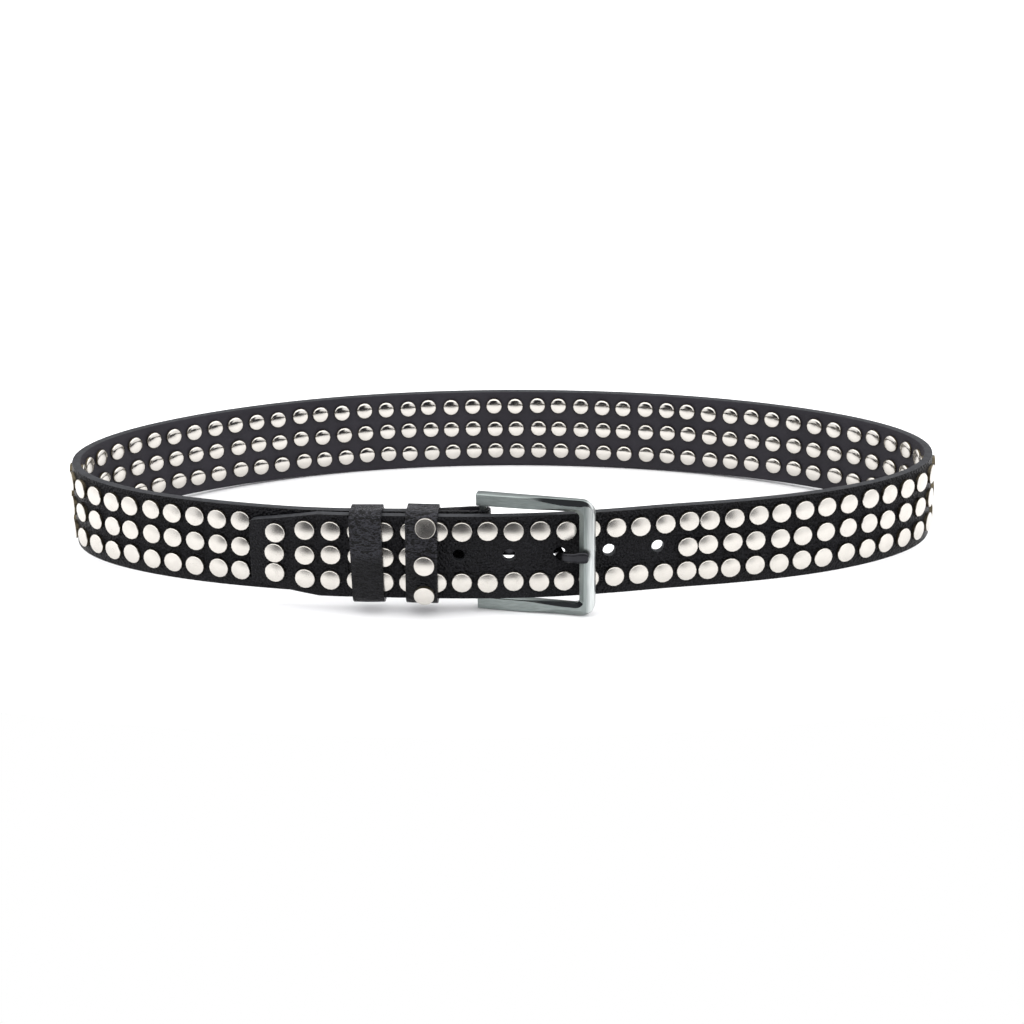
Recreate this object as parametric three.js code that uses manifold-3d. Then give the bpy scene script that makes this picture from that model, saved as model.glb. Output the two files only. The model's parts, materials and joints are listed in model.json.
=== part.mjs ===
// A studded leather belt, buckled into an oval loop that stands on its edge.
// Millimetres, +Z up, +X along the loop's long side, +Y from the buckle to the back.
// The belt is built square to its strap first: the strap's lower edge is at z = 0,
// the oval's widest line is at y = 0, and the buckle is at the front, at negative y.

import * as THREE from 'three';
import { mergeVertices } from 'three/addons/utils/BufferGeometryUtils.js';
import Module from 'manifold-3d';

const wasm = await Module();
wasm.setup();

// Strap: one long piece of leather, and the oval that its mid-line follows
const strapWidth = 41;
const strapThickness = 4;
const loopHalfLength = 207;
const loopFrontDepth = 78.1;
const loopBackDepth = 91.5;
const loopLengthPower = 1.888;
const loopFrontPower = 2.18;
const loopBackPower = 1.906;
const heelShift = 8.7;          // heel bar, left of the oval's middle
const mergeLength = 92.4;       // past the tip, where the inner layer comes back to the oval
const tipClipLength = 32;
const tipClipDepth = 4.6;
const tipCornerRadius = 3;
const clearance = 0.3;
const overcut = 5;              // how far a cutter runs past what it cuts
const meshTolerance = 0.001;
const mergeTolerance = 0.0001;

// Studs: caps in columns across the strap, in two or three rows
const capDiameter = 9.3;
const capHeight = 2;
const capSides = 10;
const capSink = 0.5;
const rowPitch = 12.4;
const rowRaise = 0.5;           // middle row, above the strap's middle
const tipRowPitch = 10;
const tipEdgeToStud = 12;
const tipFirstPitch = 13.8;
const tipColumnPitch = 12.1;
const tipColumns = 6;
const holeColumnPitch = 11.62;
const holeColumns = 10;
const tipZoneStep = 12.2;       // between the tip's columns and the holes' columns
const holeZoneStep = 11.3;      // between the holes' columns and the rest
const closePairPitch = 9.7;
const mainColumnPitch = 11.4;
const plainReach = 113.5;       // from the heel bar to the first column on the inner layer

// Prong holes, in the middle of the strap
const holeDiameter = 5.8;
const holeSides = 12;
const holeRaise = 1.2;            // holes' row, above the strap's middle
const holeCount = 5;
const holePitch = 22.9;
const tipToFirstHole = 96.4;
const buckledHole = 2;          // counted from 0 at the tip

// Fold of the strap's end round the heel bar
const foldLeather = 1.6;
const foldReach = 36;
const eyeLength = 14;
const eyeTaper = 0.8;           // the eye's height halfway to its end, as a share of the bore's
const prongSlotHeight = 9;
const foldSides = 6;

// Buckle
const heelBarDiameter = 3.4;
const barSides = 12;
const heelBarSetback = 1.2;     // bar axis, behind the middle of the arms' thickness
const heelBarInset = 2.6;       // bar axis, from the arms' free ends
const buckleLength = 55.2;
const buckleHeight = 57;
const armWidth = 5.8;
const endBarWidth = 7.2;
const buckleThickness = 5.2;
const buckleCornerRadius = 6.5;
const buckleInnerRadius = 2.5;
const buckleEdge = 0.8;
const buckleTaper = 1.2;        // how much thinner the frame is at its round end
const buckleRaise = 0.3;        // buckle's middle, above the strap's middle
const prongThickness = 2.5;
const prongWidth = 4.6;
const prongTipWidth = 5.6;
const prongRest = 4.9;          // length that lies on the end bar
const prongRingWall = 2.1;
const ringSides = 14;
const holeToEndBar = 10.8;      // from the buckled hole to the end bar's inner side
// Prong's way from the heel bar to the end bar. along: from the hole, as a share of its
// distance from the heel bar; out: from behind the strap (0) to the end bar's front (1)
const prongBend = [
  { along: -0.95, out: -0.16 },
  { along: -0.70, out: 0.08 },
  { along: -0.11, out: -0.03 },
  { along: -0.035, out: 0.00 },
  { along: -0.005, out: 0.30 },
  { along: 0.035, out: 0.68 },
  { along: 0.12, out: 0.92 },
];

// Keepers
const keeperWall = 2;
const keeperWidth = 14.8;
const keeperEase = 0.9;
const keeperFrontRadius = 5.2;
const keeperBackRadius = 3.6;
const plainKeeperReach = 53.2;
const studdedKeeperReach = 28.1;
const plainKeeperLean = -0.6;   // degrees, top towards the tip below 0
const studdedKeeperLean = -1.7;
const rivetDiameter = 9.4;
const rivetSides = 16;
const rivetHeight = 2;
const rivetPost = 2.4;
const postSides = 10;
const keeperCurve = 4;          // steps in each corner of the keepers
// side: towards the buckle, as a share of the keeper's width; height: as a share of
// the strap's width; pitch: how far the cap looks up, in degrees
const keeperRivets = [
  { name: 'keeper_rivet_top', side: 0.10, height: 0.905, pitch: 10 },
  { name: 'keeper_rivet_middle', side: 0.04, height: 0.45, pitch: 0 },
  { name: 'keeper_rivet_bottom', side: 0.04, height: 0.09, pitch: -12 },
];

const deg = Math.PI / 180;
const halfThickness = strapThickness / 2;
const strapMiddle = strapWidth / 2;
const layerStep = strapThickness + capHeight + clearance;
const tipLayerStep = strapThickness + 2 * clearance;
const endBarInner = buckleLength - heelBarInset - endBarWidth;
const tipReach = tipToFirstHole + buckledHole * holePitch + holeToEndBar - endBarInner;
const mergeReach = tipReach + mergeLength;

// How far the mid-line stands out from the oval, from the left end round to the tip.
// at: along the strap from the heel bar, positive to the tip, as a share of the
// half length; out: as a share of the strap's thickness.
const sway = [
  { at: -3.20, out: 0.00 },
  { at: -2.75, out: 0.30 },
  { at: -2.33, out: -0.05 },
  { at: -1.95, out: -0.20 },
  { at: -1.55, out: -0.30 },
  { at: -1.15, out: 0.10 },
  { at: -0.80, out: 0.32 },
  { at: -0.60, out: 0.10 },
  { at: -0.42, out: -0.10 },
  { at: -0.30, out: 0.25 },
  { at: -0.15, out: 0.72 },
  { at: 0.00, out: 0.90 },
  { at: 0.19, out: 0.95 },
  { at: 0.38, out: 1.25 },
  { at: 0.52, out: 1.20 },
];

// Curves

const signedPower = (value, exponent) => Math.sign(value) * Math.abs(value) ** exponent;

const smooth = (share) => {
  const t = Math.min(Math.max(share, 0), 1);
  return t * t * (3 - 2 * t);
};

// A point of the oval: 0 is the front, 0.25 the left end, 0.5 the back.
function ovalPoint(turn) {
  const angle = turn * 2 * Math.PI;
  const isFront = Math.cos(angle) > 0;
  const depth = isFront ? loopFrontDepth : loopBackDepth;
  const depthPower = isFront ? loopFrontPower : loopBackPower;
  return new THREE.Vector2(
    -loopHalfLength * signedPower(Math.sin(angle), 2 / loopLengthPower),
    -depth * signedPower(Math.cos(angle), 2 / depthPower),
  );
}

const ovalSteps = 2000;
const oval = Array.from({ length: ovalSteps + 1 }, (_, i) => ovalPoint(i / ovalSteps));
const ovalLengths = [0];
for (let i = 1; i <= ovalSteps; i += 1) {
  ovalLengths.push(ovalLengths[i - 1] + oval[i].distanceTo(oval[i - 1]));
}
const loopLength = ovalLengths[ovalSteps];
const heelIndex = oval.findIndex((point) => point.x < -heelShift);
const heelLength = ovalLengths[heelIndex];

// The oval's point and outward direction at a distance along it, leftwards from the heel bar.
function ovalAt(distance) {
  const wanted = (((distance + heelLength) % loopLength) + loopLength) % loopLength;
  let low = 0;
  let high = ovalSteps;
  while (high - low > 1) {
    const middle = (low + high) >> 1;
    if (ovalLengths[middle] > wanted) high = middle;
    else low = middle;
  }
  const share = (wanted - ovalLengths[low]) / (ovalLengths[high] - ovalLengths[low]);
  const tangent = oval[high].clone().sub(oval[low]).normalize();
  return {
    point: oval[low].clone().lerp(oval[high], share),
    outward: new THREE.Vector2(-tangent.y, tangent.x),
  };
}

// A smooth curve through the rows of a table, level before and after it.
function throughRows(rows, at) {
  if (at <= rows[0].at) return rows[0].out;
  if (at >= rows[rows.length - 1].at) return rows[rows.length - 1].out;
  const i = rows.findIndex((row) => row.at > at) - 1;
  const slope = (k) => {
    const before = rows[Math.max(k - 1, 0)];
    const after = rows[Math.min(k + 1, rows.length - 1)];
    return (after.out - before.out) / (after.at - before.at);
  };
  const span = rows[i + 1].at - rows[i].at;
  const t = (at - rows[i].at) / span;
  const start = (2 * t ** 3 - 3 * t ** 2 + 1) * rows[i].out;
  const startSlope = (t ** 3 - 2 * t ** 2 + t) * span * slope(i);
  const end = (3 * t ** 2 - 2 * t ** 3) * rows[i + 1].out;
  const endSlope = (t ** 3 - t ** 2) * span * slope(i + 1);
  return start + startSlope + end + endSlope;
}

// Half the strap's thickness: it swells into an eye at the fold.
const eyeRadius = heelBarDiameter / 2 + clearance + foldLeather;
const halfAt = (distance) =>
  eyeRadius + (halfThickness - eyeRadius) * smooth(distance / foldReach);

// Outward shift of the mid-line, by distance from the heel bar: the inner layer comes
// first, and the outer layer lies one turn of the loop further on.
function swayAt(distance) {
  const outer = (along) => strapThickness * throughRows(sway, along / loopHalfLength);
  if (distance > mergeReach) return outer(distance - loopLength);
  const step = layerStep + (tipLayerStep - layerStep) * smooth(distance / tipReach);
  const inset = step - outer(Math.min(distance, tipReach)) + halfAt(distance) - halfThickness;
  return -inset * (1 - smooth((distance - tipReach) / (mergeReach - tipReach)));
}

// A point of the strap at a distance along it and a distance out of its mid-line.
function strapPoint(distance, out = 0) {
  const { point, outward } = ovalAt(distance);
  return point.clone().addScaledVector(outward, swayAt(distance) + out);
}

// Place and outward direction at a distance along the flat between two stations.
function faceBetween(start, end, distance) {
  const before = strapPoint(start, halfThickness);
  const after = strapPoint(end, halfThickness);
  const along = after.clone().sub(before).normalize();
  return {
    point: before.clone().lerp(after, (distance - start) / (end - start)),
    outward: new THREE.Vector2(-along.y, along.x),
  };
}

// Columns of studs, from the tip back to the inner layer

function studColumns() {
  const end = loopLength + tipReach;
  const columns = [];
  let at = end - tipEdgeToStud;
  for (let i = 0; i < tipColumns; i += 1) {
    columns.push({ at, rows: 3, pitch: i === 0 ? tipRowPitch : rowPitch });
    at -= i === 0 ? tipFirstPitch : tipColumnPitch;
  }
  at += tipColumnPitch - tipZoneStep;
  for (let i = 0; i < holeColumns; i += 1) {
    columns.push({ at, rows: 2, pitch: 2 * rowPitch });
    at -= holeColumnPitch;
  }
  at += holeColumnPitch - holeZoneStep;
  columns.push({ at, rows: 3, pitch: rowPitch });
  at -= closePairPitch;
  const intervals = Math.max(Math.round((at - plainReach) / mainColumnPitch), 1);
  const pitch = (at - plainReach) / intervals;
  for (let i = 0; i <= intervals; i += 1) {
    columns.push({ at: at - i * pitch, rows: 3, pitch: rowPitch });
  }
  return columns.reverse();
}
const columns = studColumns();

// Stations of the strap, where its flat faces meet: halfway between the columns
function strapStations() {
  const stations = [0, 4, 9, eyeLength, 22, foldReach];
  const plainSteps = Math.max(Math.round((plainReach - foldReach) / mainColumnPitch), 1);
  const plainPitch = (plainReach - foldReach) / plainSteps;
  for (let i = 1; i < plainSteps; i += 1) stations.push(foldReach + (i - 0.5) * plainPitch);
  stations.push(columns[0].at - mainColumnPitch / 2);
  for (let i = 1; i < columns.length; i += 1) {
    stations.push((columns[i - 1].at + columns[i].at) / 2);
  }
  stations.push(loopLength + tipReach);
  return stations.sort((a, b) => a - b);
}
const stations = strapStations();

// Place and outward direction on the flat of the strap's outer face at a distance along it
function faceAt(distance) {
  const next = stations.findIndex((station) => station > distance);
  return faceBetween(stations[next - 1], stations[next], distance);
}

// Solids

function asSolid(geometry) {
  const bare = geometry.clone();
  bare.deleteAttribute('normal');
  bare.deleteAttribute('uv');
  const merged = mergeVertices(bare, mergeTolerance);
  return new wasm.Manifold(new wasm.Mesh({
    numProp: 3,
    vertProperties: new Float32Array(merged.attributes.position.array),
    triVerts: new Uint32Array(merged.index.array),
  }));
}

function asGeometry(solid) {
  const mesh = solid.getMesh();
  const geometry = new THREE.BufferGeometry();
  geometry.setAttribute('position', new THREE.BufferAttribute(mesh.vertProperties, 3));
  geometry.setIndex(new THREE.BufferAttribute(mesh.triVerts, 1));
  return geometry;
}

// An upright prism over an outline in plan, from one height to another.
function prism(outline, bottom, top, holes = []) {
  const shape = new THREE.Shape(outline);
  for (const hole of holes) shape.holes.push(new THREE.Path(hole));
  const geometry = new THREE.ExtrudeGeometry(shape, { depth: top - bottom, bevelEnabled: false });
  return asSolid(geometry.translate(0, 0, bottom));
}

// A round bar or disc, from inside to outside along a level or pitched direction.
function disc(diameter, sides, centre, direction, inner, outer) {
  const outline = new THREE.Shape(roundOutline(new THREE.Vector2(), diameter / 2, sides));
  const geometry = new THREE.ExtrudeGeometry(outline, { depth: outer - inner, bevelEnabled: false });
  const turn = new THREE.Quaternion().setFromUnitVectors(new THREE.Vector3(0, 0, 1), direction);
  geometry.translate(0, 0, inner).applyQuaternion(turn);
  return asSolid(geometry.translate(centre.x, centre.y, centre.z));
}

const level = (vector, z = 0) => new THREE.Vector3(vector.x, vector.y, z);

// Points in plan on a circle, or on an arc of it.
function roundOutline(centre, radius, sides, from = 0, to = 2 * Math.PI) {
  const full = to - from >= 2 * Math.PI;
  const count = full ? sides : sides + 1;
  return Array.from({ length: count }, (_, i) => {
    const angle = from + ((to - from) * i) / sides;
    return new THREE.Vector2(
      centre.x + radius * Math.cos(angle),
      centre.y + radius * Math.sin(angle),
    );
  });
}

// Heel bar: its axis is the middle of the eye in the fold.
const heelPoint = strapPoint(0);

function strapBlank() {
  const outer = stations.map((at) => strapPoint(at, halfAt(at)));
  const inner = stations.map((at) => strapPoint(at, -halfAt(at)));
  const foldEnd = roundOutline(heelPoint, eyeRadius, foldSides, -90 * deg, 90 * deg).slice(1, -1);
  const outline = [...outer, ...inner.reverse(), ...foldEnd.reverse()];
  const barHole = heelBarDiameter / 2 + clearance;
  const eye = [
    ...roundOutline(heelPoint, barHole, foldSides, -90 * deg, 90 * deg),
    strapPoint(eyeLength / 2, -barHole * eyeTaper),
    strapPoint(eyeLength),
    strapPoint(eyeLength / 2, barHole * eyeTaper),
  ];
  return prism(outline, 0, strapWidth, [eye]);
}

// The two slanted clips and rounded corners that taper the end of the tip.
function tipClips() {
  const end = loopLength + tipReach;
  const reachPast = overcut - 1;
  const outside = halfThickness + capHeight + clearance;
  const inside = halfThickness + clearance;
  const run = stations.filter((at) => at > end - tipClipLength - mainColumnPitch && at < end);
  const course = [...run, end, end + reachPast];
  const corridor = prism([
    ...course.map((at) => strapPoint(at, outside)),
    ...course.map((at) => strapPoint(at, -inside)).reverse(),
  ], -overcut, strapWidth + overcut);
  const tip = strapPoint(end);
  const x = (distance) => tip.x + distance;
  const side = new THREE.Shape();
  const top = strapWidth - tipClipDepth;
  side.moveTo(x(-overcut), -overcut);
  side.lineTo(x(-overcut), strapWidth + overcut);
  side.lineTo(x(tipClipLength), strapWidth + overcut);
  side.lineTo(x(tipClipLength), strapWidth);
  side.lineTo(x(tipCornerRadius), top);
  side.quadraticCurveTo(x(0), top, x(0), top - tipCornerRadius);
  side.lineTo(x(0), tipClipDepth + tipCornerRadius);
  side.quadraticCurveTo(x(0), tipClipDepth, x(tipCornerRadius), tipClipDepth);
  side.lineTo(x(tipClipLength), 0);
  side.lineTo(x(tipClipLength), -overcut);
  const spread = strapWidth;
  const profile = new THREE.ExtrudeGeometry(side, {
    depth: 2 * spread, bevelEnabled: false, curveSegments: 3,
  });
  profile.rotateX(90 * deg).translate(0, tip.y + spread, 0);
  return corridor.intersect(asSolid(profile));
}

function studCaps() {
  const caps = [];
  for (const column of columns) {
    const { point, outward } = faceAt(column.at);
    const direction = level(outward);
    for (let row = 0; row < column.rows; row += 1) {
      const height = strapMiddle + rowRaise + (row - (column.rows - 1) / 2) * column.pitch;
      const centre = level(point, height);
      caps.push(disc(capDiameter, capSides, centre, direction, -capSink, capHeight));
    }
  }
  return wasm.Manifold.union(caps);
}

function prongHoles() {
  const cut = halfThickness + 2 * clearance;
  const holes = [];
  for (let i = 0; i < holeCount; i += 1) {
    const { point, outward } = faceAt(loopLength + tipReach - tipToFirstHole - i * holePitch);
    const middle = point.clone().addScaledVector(outward, -halfThickness);
    const centre = level(middle, strapMiddle + holeRaise);
    holes.push(disc(holeDiameter, holeSides, centre, level(outward), -cut, cut));
  }
  return wasm.Manifold.union(holes);
}

function prongSlot() {
  const depth = 2 * (eyeRadius + 2 * clearance);
  const slot = new THREE.BoxGeometry(eyeLength, depth, prongSlotHeight);
  return asSolid(slot.translate(heelPoint.x, heelPoint.y, strapMiddle + holeRaise));
}

function strapSolid() {
  return strapBlank().subtract(tipClips()).add(studCaps()).subtract(prongHoles())
    .subtract(prongSlot()).asOriginal().simplify(meshTolerance);
}

// Buckle, in its own frame: x along the arms from the heel bar, y backwards

const bucklePlace = level(heelPoint, strapMiddle + buckleRaise);
const frameBack = buckleThickness / 2 - heelBarSetback;
const frameFront = frameBack - buckleThickness;
const capsUnderBar = strapPoint(loopLength - endBarInner, halfThickness + capHeight + 2 * clearance);
const backTaper = (x) => buckleTaper * (x + heelBarInset) / buckleLength;
const barBack = frameBack - backTaper(endBarInner);
const buckleLean = Math.asin((heelPoint.y + barBack - capsUnderBar.y) / endBarInner);

function buckleFrameSolid() {
  const left = -heelBarInset;
  const right = buckleLength - heelBarInset;
  const top = buckleHeight / 2;
  const inside = top - armWidth;
  const innerX = endBarInner - buckleInnerRadius;
  const innerZ = inside - buckleInnerRadius;
  const outerX = right - buckleCornerRadius;
  const outerZ = top - buckleCornerRadius;
  const side = new THREE.Shape();
  side.moveTo(left, top);
  side.lineTo(left, inside);
  side.lineTo(innerX, inside);
  side.absarc(innerX, innerZ, buckleInnerRadius, 90 * deg, 0, true);
  side.lineTo(endBarInner, -innerZ);
  side.absarc(innerX, -innerZ, buckleInnerRadius, 0, -90 * deg, true);
  side.lineTo(left, -inside);
  side.lineTo(left, -top);
  side.lineTo(outerX, -top);
  side.absarc(outerX, -outerZ, buckleCornerRadius, -90 * deg, 0, false);
  side.lineTo(right, outerZ);
  side.absarc(outerX, outerZ, buckleCornerRadius, 0, 90 * deg, false);
  side.lineTo(left, top);
  const frame = new THREE.ExtrudeGeometry(side, {
    depth: buckleThickness - buckleEdge,
    bevelEnabled: true,
    bevelThickness: buckleEdge,
    bevelSize: buckleEdge,
    bevelOffset: -buckleEdge,
    bevelSegments: 1,
    curveSegments: 5,
  });
  // The outline's up becomes the belt's up, and the bevelled face looks forward.
  frame.rotateX(90 * deg).translate(0, frameBack, 0);
  const wedge = prism([
    new THREE.Vector2(left - overcut, frameFront),
    new THREE.Vector2(right + overcut, frameFront),
    new THREE.Vector2(right + overcut, frameBack - backTaper(right + overcut)),
    new THREE.Vector2(left - overcut, frameBack - backTaper(left - overcut)),
  ], -buckleHeight, buckleHeight);
  const tapered = asSolid(frame).intersect(wedge);
  const barHalf = inside + armWidth / 2;
  const bar = disc(heelBarDiameter, barSides, new THREE.Vector3(), new THREE.Vector3(0, 0, 1),
    -barHalf, barHalf);
  return tapered.add(bar);
}

// Outline of a strip of one thickness along a course of points.
function strip(course, thickness) {
  const sides = course.map((point, i) => {
    const before = course[Math.max(i - 1, 0)];
    const after = course[Math.min(i + 1, course.length - 1)];
    const first = point.clone().sub(before).normalize();
    const second = after.clone().sub(point).normalize();
    const along = first.add(second).normalize();
    return new THREE.Vector2(-along.y, along.x).multiplyScalar(thickness / 2);
  });
  return [
    ...course.map((point, i) => point.clone().sub(sides[i])),
    ...course.map((point, i) => point.clone().add(sides[i])).reverse(),
  ];
}

// Prong, in plan from the heel bar: a ring round the bar, a shank behind the strap,
// a bend out through the hole, and a flattened end that lies on the end bar.
function prongSolid() {
  const half = prongThickness / 2;
  const hole = strapPoint(loopLength + tipReach - tipToFirstHole - buckledHole * holePitch)
    .sub(heelPoint);
  const behind = hole.y + halfThickness + clearance + half;
  const place = (x, y) => new THREE.Vector2(
    x * Math.cos(buckleLean) + y * Math.sin(buckleLean),
    -x * Math.sin(buckleLean) + y * Math.cos(buckleLean),
  );
  const front = frameFront - clearance - half;
  const onBar = place(endBarInner + clearance, front);
  const tipEnd = place(endBarInner + prongRest, front);
  const bend = prongBend.map(({ along, out }) => new THREE.Vector2(
    hole.x * (1 + along),
    behind + (onBar.y - behind) * out,
  ));
  const course = [...bend, onBar, tipEnd];
  const middle = new THREE.Vector2();
  const boreRadius = heelBarDiameter / 2 + clearance;
  const ringOutline = roundOutline(middle, boreRadius + prongRingWall, ringSides);
  const ring = prism(ringOutline, -prongWidth / 2, prongWidth / 2);
  const bore = prism(roundOutline(middle, boreRadius, ringSides), -prongWidth, prongWidth);
  const shank = prism(strip(course, prongThickness), -prongWidth / 2, prongWidth / 2);
  const flat = prism(strip([onBar, tipEnd], prongThickness), -prongTipWidth / 2, prongTipWidth / 2);
  return ring.add(shank).subtract(bore).add(flat);
}

// Keepers: leather bands round both layers, in a frame at the strap's mid-line with
// x outwards, y along the strap and z up

const keeperFront = halfThickness + capHeight + clearance;

// How far the inner layer's inner face lies behind the outer layer's mid-line.
const layersDepth = (reach) =>
  swayAt(loopLength + reach) - swayAt(reach) + halfAt(reach);

function keeperSolid(reach) {
  const half = keeperWidth / 2;
  const depth = Math.max(layersDepth(reach - half), layersDepth(reach), layersDepth(reach + half));
  const outline = (grow) => {
    const left = -depth - keeperEase - grow;
    const right = keeperFront + grow;
    const bottom = -keeperEase - grow;
    const top = strapWidth + keeperEase + grow;
    const front = Math.max(keeperFrontRadius - keeperWall, clearance) + grow;
    const back = Math.max(keeperBackRadius - keeperWall, clearance) + grow;
    const shape = new THREE.Shape();
    shape.moveTo(left + back, bottom);
    shape.absarc(right - front, bottom + front, front, -90 * deg, 0, false);
    shape.absarc(right - front, top - front, front, 0, 90 * deg, false);
    shape.absarc(left + back, top - back, back, 90 * deg, 180 * deg, false);
    shape.absarc(left + back, bottom + back, back, 180 * deg, 270 * deg, false);
    return shape;
  };
  const band = outline(keeperWall);
  band.holes.push(new THREE.Path(outline(0).getPoints(keeperCurve)));
  const geometry = new THREE.ExtrudeGeometry(band, {
    depth: keeperWidth, bevelEnabled: false, curveSegments: keeperCurve,
  });
  return asSolid(geometry.translate(0, 0, -keeperWidth / 2).rotateX(90 * deg));
}

// A rivet's place on the keeper's front, and the direction that its cap looks.
function rivetSeat(rivet) {
  const side = rivet.side * keeperWidth;
  const face = new THREE.Vector3(keeperFront + keeperWall, side, rivet.height * strapWidth);
  const look = new THREE.Vector3(Math.cos(rivet.pitch * deg), 0, Math.sin(rivet.pitch * deg));
  return { face, look };
}

function rivetSolid(rivet) {
  const { face, look } = rivetSeat(rivet);
  const lift = clearance + Math.abs(Math.sin(rivet.pitch * deg)) * rivetDiameter / 2;
  const base = face.clone().addScaledVector(look, lift);
  const cap = disc(rivetDiameter, rivetSides, base, look, 0, rivetHeight);
  const post = disc(rivetPost, postSides, base, look, -lift - keeperWall / 2, rivetHeight / 2);
  return cap.add(post);
}

function studdedKeeperSolid() {
  const holes = keeperRivets.map((rivet) => {
    const { face, look } = rivetSeat(rivet);
    const bore = rivetPost + 2 * clearance;
    return disc(bore, postSides, face, look, -keeperWall / 2 - clearance, keeperWall);
  });
  return keeperSolid(studdedKeeperReach).subtract(wasm.Manifold.union(holes));
}

// Materials

const leather = new THREE.MeshStandardMaterial({ color: 0x17171a, roughness: 0.55, metalness: 0 });
const keeperLeather = new THREE.MeshStandardMaterial({ color: 0x101012, roughness: 0.4, metalness: 0 });
const nickel = new THREE.MeshStandardMaterial({ color: 0xd9d3cc, roughness: 0.25, metalness: 1 });
const gunmetal = new THREE.MeshStandardMaterial({ color: 0x6f7775, roughness: 0.35, metalness: 1 });
const blackMetal = new THREE.MeshStandardMaterial({ color: 0x1c1c1e, roughness: 0.3, metalness: 1 });

function piece(name, solid, material) {
  const mesh = new THREE.Mesh(asGeometry(solid), material);
  mesh.name = name;
  return mesh;
}

// Assembly

const belt = new THREE.Group();
belt.add(piece('strap', strapSolid(), leather));

const buckle = new THREE.Group();
buckle.position.copy(bucklePlace);
const buckleFrame = piece('buckle_frame', buckleFrameSolid(), gunmetal);
buckleFrame.rotation.z = -buckleLean;
buckle.add(buckleFrame);
const prong = piece('prong', prongSolid(), blackMetal);
prong.position.z = holeRaise - buckleRaise;
buckle.add(prong);
belt.add(buckle);

function keeperGroup(reach, lean) {
  const distance = loopLength + reach;
  const { outward } = faceBetween(distance - keeperWidth / 2, distance + keeperWidth / 2, distance);
  const group = new THREE.Group();
  group.position.copy(level(strapPoint(distance)));
  group.rotation.set(lean * deg, 0, Math.atan2(outward.y, outward.x), 'ZYX');
  belt.add(group);
  return group;
}
keeperGroup(plainKeeperReach, plainKeeperLean)
  .add(piece('keeper_plain', keeperSolid(plainKeeperReach), keeperLeather));
const studdedKeeper = keeperGroup(studdedKeeperReach, studdedKeeperLean);
studdedKeeper.add(piece('keeper_studded', studdedKeeperSolid(), keeperLeather));
for (const rivet of keeperRivets) {
  studdedKeeper.add(piece(rivet.name, rivetSolid(rivet), nickel));
}

// Rest: the belt stands on the back of its strap and on the buckle's lower arm, which
// reaches below the strap, so the front is raised.
const buckleDrop = buckleHeight / 2 - strapMiddle - buckleRaise;
const restSpan = loopBackDepth + halfThickness - (heelPoint.y + frameBack);
belt.rotation.x = -Math.atan2(Math.max(buckleDrop, 0), restSpan);

const standing = new THREE.Group();
standing.add(belt);
standing.updateMatrixWorld(true);
const box = new THREE.Box3().setFromObject(standing, true);
standing.position.set(
  -(box.min.x + box.max.x) / 2, -(box.min.y + box.max.y) / 2, -box.min.z);

export default standing;
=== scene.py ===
# A studded leather belt, buckled into an oval loop that stands on its edge.
# Metres, +Z up, +X along the loop's long side, +Y from the buckle to the back.

import json
import math
import random
from bisect import bisect_right
from collections import namedtuple

import bmesh
import bpy
from bpy.props import FloatProperty, FloatVectorProperty, PointerProperty
from mathutils import Matrix, Vector


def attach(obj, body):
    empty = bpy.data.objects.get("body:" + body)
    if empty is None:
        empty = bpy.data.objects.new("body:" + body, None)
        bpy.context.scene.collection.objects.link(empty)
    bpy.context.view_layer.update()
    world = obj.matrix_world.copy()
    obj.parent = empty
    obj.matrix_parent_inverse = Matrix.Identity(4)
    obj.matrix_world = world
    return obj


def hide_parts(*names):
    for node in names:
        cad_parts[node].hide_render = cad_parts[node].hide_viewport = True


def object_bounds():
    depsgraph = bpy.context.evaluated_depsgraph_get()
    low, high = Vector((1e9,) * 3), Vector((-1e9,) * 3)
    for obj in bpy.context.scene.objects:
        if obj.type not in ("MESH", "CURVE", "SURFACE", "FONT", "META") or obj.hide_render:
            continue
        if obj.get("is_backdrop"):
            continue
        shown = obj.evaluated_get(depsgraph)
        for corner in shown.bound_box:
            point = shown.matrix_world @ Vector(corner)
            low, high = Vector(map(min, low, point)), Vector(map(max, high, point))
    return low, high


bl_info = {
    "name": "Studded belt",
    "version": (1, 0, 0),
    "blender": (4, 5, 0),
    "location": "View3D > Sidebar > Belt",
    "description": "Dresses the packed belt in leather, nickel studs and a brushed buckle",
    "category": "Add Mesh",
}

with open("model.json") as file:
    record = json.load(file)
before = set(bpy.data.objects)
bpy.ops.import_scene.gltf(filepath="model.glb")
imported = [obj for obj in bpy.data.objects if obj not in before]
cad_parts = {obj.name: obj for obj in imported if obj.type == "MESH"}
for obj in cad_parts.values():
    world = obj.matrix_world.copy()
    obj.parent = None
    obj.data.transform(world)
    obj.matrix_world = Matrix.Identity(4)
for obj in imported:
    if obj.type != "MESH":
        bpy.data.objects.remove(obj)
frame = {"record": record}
CAD_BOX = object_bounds()

# Strap, and the oval that its mid-line follows
STRAP_WIDTH = 0.041
STRAP_THICKNESS = 0.004
HALF_THICKNESS = STRAP_THICKNESS / 2
STRAP_MIDDLE = STRAP_WIDTH / 2
OVAL_HALF_LENGTH = 0.207
OVAL_FRONT = 0.0781
OVAL_BACK = 0.0915
OVAL_LENGTH_POWER = 1.888
OVAL_FRONT_POWER = 2.18
OVAL_BACK_POWER = 1.906
OVAL_STEPS = 2000
HEEL_SHIFT = 0.0087
MERGE_LENGTH = 0.0924
TIP_CLIP_LENGTH = 0.032
TIP_CLIP_DEPTH = 0.0046
TIP_CORNER = 0.003
CLEARANCE = 0.0003

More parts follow.
